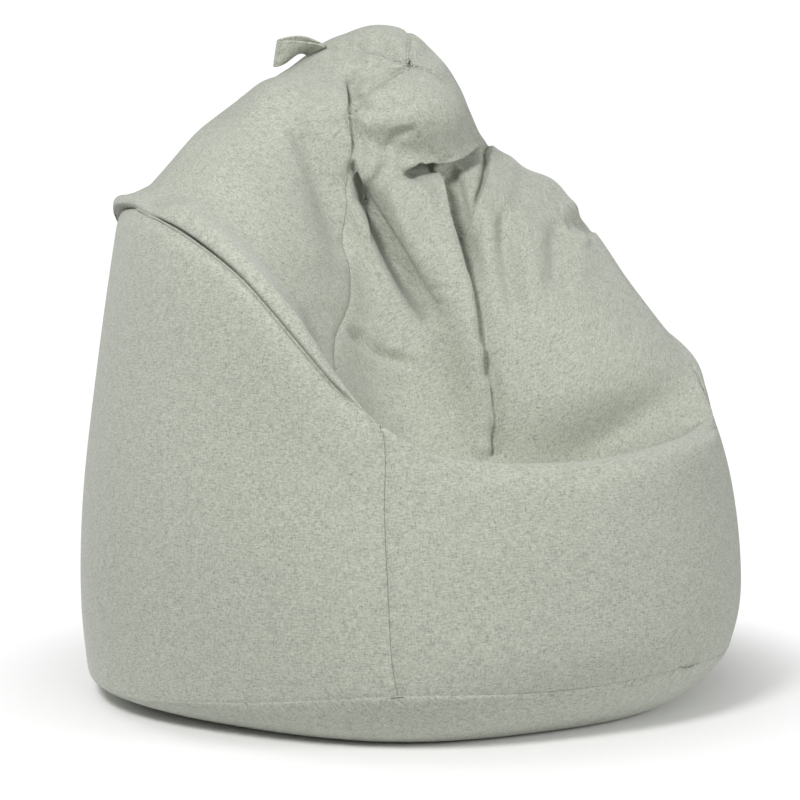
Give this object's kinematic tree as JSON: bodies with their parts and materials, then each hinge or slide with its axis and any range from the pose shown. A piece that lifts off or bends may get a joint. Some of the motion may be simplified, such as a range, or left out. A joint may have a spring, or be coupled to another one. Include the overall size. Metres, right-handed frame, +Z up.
{
  "type": "bean bag chair",
  "caption": "Pear-shaped fabric bean bag chair with a sunken seat, a peaked back, a carry loop at the tip and a zip down the rear seam.",
  "frame": {"origin": "on the floor, under the middle of the chair", "axes": "+Z up; the seat faces -Y and the back peak leans towards +Y; +X is to the sitter's left, which is the right-hand side seen from the front"},
  "size_m": [0.8698, 0.8669, 0.852],
  "materials": {
    "cover_cloth": "coarse woven melange, matt",
    "liner_cloth": "thin plain weave, matt",
    "beads": "expanded polystyrene beads, matt",
    "thread": "spun polyester thread",
    "zip_tape": "woven tape, matt",
    "zip_coil": "nylon coil, satin",
    "zip_metal": "cast and plated, satin"
  },
  "bodies": {
    "cover": {"front_left_panel": "cover_cloth", "front_right_panel": "cover_cloth", "rear_left_panel": "cover_cloth", "rear_right_panel": "cover_cloth", "base_panel": "cover_cloth", "liner_left_half": "liner_cloth", "liner_right_half": "liner_cloth", "liner_base": "liner_cloth", "bead_fill": "beads", "left_seam_thread": "thread", "front_seam_thread": "thread", "right_seam_thread": "thread", "rear_seam_thread": "thread", "base_seam_thread": "thread", "zip_tape_left": "zip_tape", "zip_tape_right": "zip_tape", "zip_coil_left": "zip_coil", "zip_coil_right": "zip_coil", "zip_top_stop_left": "zip_metal", "zip_top_stop_right": "zip_metal", "zip_bottom_stop": "zip_metal"},
    "zip_slider": {"zip_slider": "zip_metal"},
    "zip_pull": {"zip_pull": "zip_metal"},
    "carry_loop": {"carry_loop": "cover_cloth"}
  },
  "joints": [
    {"name": "zip_run", "type": "slide", "parent": "cover", "child": "zip_slider", "axis": [0, 0, 1], "range_m": [0, 0.275]},
    {"name": "zip_pull_swing", "type": "hinge", "parent": "zip_slider", "child": "zip_pull", "pos_m": [0.21985, 0.38079, 0.123], "axis": [0.866, -0.5, 0], "range_deg": [0, 165]},
    {"name": "carry_loop_flop", "type": "hinge", "parent": "cover", "child": "carry_loop", "pos_m": [-0.04248, 0.20695, 0.82239], "axis": [-0.3232, 0.885, -0.3351], "range_deg": [-8, 85], "stiffness_Nm_per_rad": 0.02}
  ]
}
